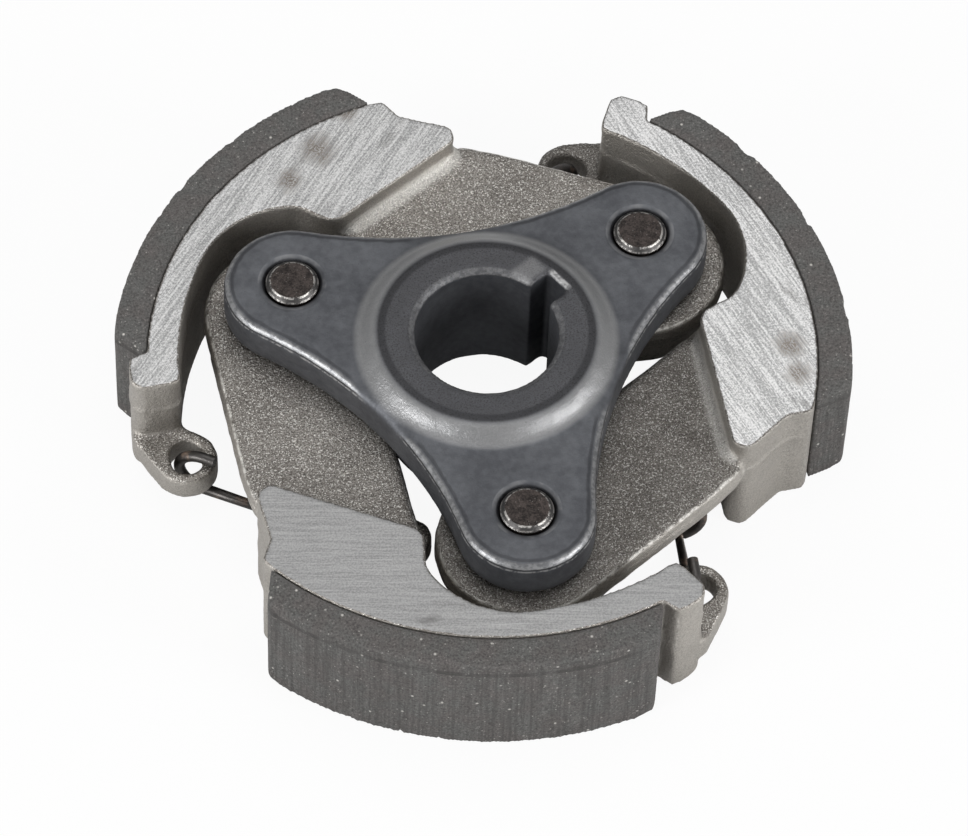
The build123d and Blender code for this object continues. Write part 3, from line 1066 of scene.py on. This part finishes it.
@dataclass
class Clutch:
    """The whole clutch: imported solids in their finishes, and the pieces drawn on them."""

    nodes: dict[str, bpy.types.Object]
    boss_height: float = 1.6
    seed_step: float = 31.0
    # For each casting: painted shade of its ground and cast faces, grit of the ground faces, and stains
    wear_and_shade: tuple[ShoeWearAndShade, ...] = (
        ShoeWearAndShade(
            ground_painted_shade=0.84,
            grit=1.6,
            tone=1.0,
            stains=(Stain((-8.8, 33.9), 1.6), Stain((-12.6, 29.1), 2.0), Stain((-16.2, 25.7), 1.5)),
        ),
        ShoeWearAndShade(ground_painted_shade=0.57, grit=0.75, tone=0.95),
        ShoeWearAndShade(
            ground_painted_shade=1.0,
            grit=1.8,
            tone=0.62,
            stains=(Stain((31.6, -4.6), 1.7), Stain((31.6, -8.1), 1.5)),
        ),
    )

    def _dress(self, node: str, material: bpy.types.Material) -> None:
        """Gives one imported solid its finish."""
        mesh = self.nodes[node].data
        mesh.materials.clear()
        mesh.materials.append(material)

    def _stand_for(self, piece: bpy.types.Object, node: str, body: str) -> None:
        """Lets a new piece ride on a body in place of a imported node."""
        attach(piece, body)
        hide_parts(node)
        log.info("%s: %d faces", piece.name, len(piece.data.polygons))

    def dress_hub(self) -> None:
        """Finishes the hub plate, pivot pins and washers."""
        plate_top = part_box("hub_plate")[1].z / MM - self.boss_height
        steel = DarkSteel(plate_top).make("dark_steel")
        plate = PressedPlate(plate_top).shape(self.nodes["hub_plate"], steel)
        self._stand_for(plate, "hub_plate", "hub")
        pin = PinSteel().make("pin_steel")
        washer = PlainSteel().make("washer_steel")
        for number in range(1, SHOE_COUNT + 1):
            self._dress(f"pivot_pin_{number}", pin)
            self._dress(f"pin_washer_{number}", washer)

    def dress_shoes(self) -> None:
        """Finishes the castings and the linings, each with its own seed and grinding direction."""
        for number, wear_and_shade in enumerate(self.wear_and_shade, start=1):
            low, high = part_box(f"shoe_{number}")
            turn = (number - 1) * TURN
            seed = self.seed_step * number
            top, bottom = high.z / MM, low.z / MM
            metal = CastShoe(top, bottom, turn, seed, wear_and_shade).make(f"cast_aluminium_{number}")
            shoe = Casting(top, bottom).shape(self.nodes[f"shoe_{number}"], number, metal)
            self._stand_for(shoe, f"shoe_{number}", f"shoe_{number}")
            composite = FrictionLining(top, seed).make(f"friction_lining_{number}")
            lining = ChippedLining(top, bottom).shape(self.nodes[f"lining_{number}"], number, composite)
            self._stand_for(lining, f"lining_{number}", f"shoe_{number}")

    def add_springs(self) -> None:
        """Draws the three return springs."""
        tree = wire_tree()
        finish = SpringWire().make("spring_wire")
        for number in range(1, SHOE_COUNT + 1):
            for piece in ReturnSpring(number).build(tree, finish):
                log.info("%s: %d faces", piece.name, len(piece.data.polygons))


@dataclass(frozen=True)
class SoftBox:
    """One square studio lamp, with its place and size in metres and its power in watts."""

    name: str
    place: Point
    size: float
    power: float

    def hang(self, aim: Vector) -> None:
        """Adds the lamp, turned towards a point in metres."""
        data = bpy.data.lights.new(self.name, "AREA")
        data.shape = "SQUARE"
        data.size = self.size
        data.energy = self.power
        lamp = add_object(self.name, data)
        lamp.location = self.place
        lamp.rotation_euler = (aim - Vector(self.place)).to_track_quat("-Z", "Y").to_euler()


@dataclass
class Studio:
    """The camera, floor, lamps and surroundings, in metres; the lens and sensor are in millimetres."""

    camera_place: Point = (-0.08246, -0.34978, 0.52757)
    camera_aim: Point = (-0.000766, -0.003742, 0.005)
    camera_roll: float = math.radians(2.607)
    lens: float = 223.49
    sensor: float = 36.0
    nearest: float = 0.01
    floor_size: float = 4.0
    floor_grey: float = 0.82
    floor_glow: float = 0.93
    surroundings: float = 0.4
    lamp_aim: Point = (0.0, 0.0, 0.005)

    def add_camera(self) -> None:
        """Stands the camera where the photograph was taken from."""
        data = bpy.data.cameras.new("camera")
        data.lens = self.lens
        data.sensor_width = self.sensor
        data.clip_start = self.nearest
        camera = add_object("camera", data)
        place = Vector(self.camera_place)
        ahead = (Vector(self.camera_aim) - place).normalized()
        level = ahead.cross(Vector((0, 0, 1))).normalized()
        above = level.cross(ahead)
        right = level * math.cos(self.camera_roll) + above * math.sin(self.camera_roll)
        up = right.cross(ahead)
        camera.matrix_world = Matrix.Translation(place) @ Matrix((right, up, -ahead)).transposed().to_4x4()
        bpy.context.scene.camera = camera

    def add_floor(self, height: float) -> None:
        """Lays the white floor under the clutch, at a height in metres."""
        half = self.floor_size / 2
        mesh = bpy.data.meshes.new("floor")
        corners = [(-half, -half, height), (half, -half, height), (half, half, height), (-half, half, height)]
        mesh.from_pydata(corners, [], [(0, 1, 2, 3)])
        floor = add_object("floor", mesh)
        graph = Graph("studio_floor")
        rays = graph.node("ShaderNodeLightPath", {}, {}, "Is Camera Ray")
        plain = graph.node("ShaderNodeBsdfDiffuse", {}, {"Color": _rgba((self.floor_grey,) * 3)})
        white = graph.node("ShaderNodeEmission", {}, {"Color": (1.0, 1.0, 1.0, 1.0), "Strength": 1.0})
        mixed = graph.node("ShaderNodeMixShader", {}, {0: rays * self.floor_glow, 1: plain, 2: white})
        mesh.materials.append(graph.finish(mixed))
        floor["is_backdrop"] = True

    def add_lights(self) -> None:
        """Hangs the lamps and sets the surroundings."""
        for lamp in (
            SoftBox("top_box", place=(0.05, 0.2, 0.8), size=0.6, power=1.8),
            SoftBox("left_box", place=(-0.72, -0.3, 0.3), size=0.32, power=4.3),
            SoftBox("right_box", place=(0.62, -0.45, 0.3), size=0.28, power=3.6),
            SoftBox("front_box", place=(0.3, -0.8, 0.22), size=0.45, power=0.5),
        ):
            lamp.hang(Vector(self.lamp_aim))
        world = bpy.data.worlds.new("surroundings")
        world.use_nodes = True
        backdrop = world.node_tree.nodes["Background"]
        backdrop.inputs["Color"].default_value = (1.0, 1.0, 1.0, 1.0)
        rays = world.node_tree.nodes.new("ShaderNodeLightPath")
        level = world.node_tree.nodes.new("ShaderNodeMapRange")
        level.inputs["To Min"].default_value = self.surroundings
        level.inputs["To Max"].default_value = 1.0
        world.node_tree.links.new(rays.outputs["Is Camera Ray"], level.inputs["Value"])
        world.node_tree.links.new(level.outputs["Result"], backdrop.inputs["Strength"])
        bpy.context.scene.world = world


def main() -> None:
    """Builds the whole picture in order."""
    logging.basicConfig(level=logging.INFO, format="%(name)s: %(message)s")
    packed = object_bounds()
    studio = Studio()
    studio.add_camera()
    clutch = Clutch(frame["nodes"])
    clutch.dress_hub()
    clutch.dress_shoes()
    clutch.add_springs()
    studio.add_floor(packed[0].z)
    studio.add_lights()
    bpy.context.scene.view_settings.view_transform = "Standard"


if __name__ == "__main__":
    main()
